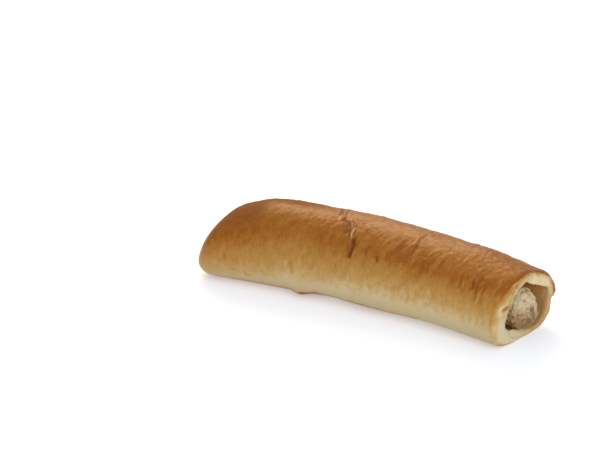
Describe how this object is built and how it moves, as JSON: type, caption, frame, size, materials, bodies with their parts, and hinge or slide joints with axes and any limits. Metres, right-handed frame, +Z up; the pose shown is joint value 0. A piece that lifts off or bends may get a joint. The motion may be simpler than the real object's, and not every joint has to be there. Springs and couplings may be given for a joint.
{
  "type": "sausage roll",
  "caption": "Long soft bread roll baked round a cooked sausage, which shows in the open end; a snack that lies on its flat underside.",
  "frame": {"origin": "on the surface that the roll lies on, under the middle of its box", "axes": "+X along the roll towards its open end, +Y towards the side with the dough's seam, +Z up"},
  "size_m": [0.1792, 0.0532, 0.0411],
  "materials": {
    "bread": "satin",
    "sausage": "satin"
  },
  "bodies": {
    "root": {"bread": "bread", "sausage": "sausage"}
  },
  "joints": []
}
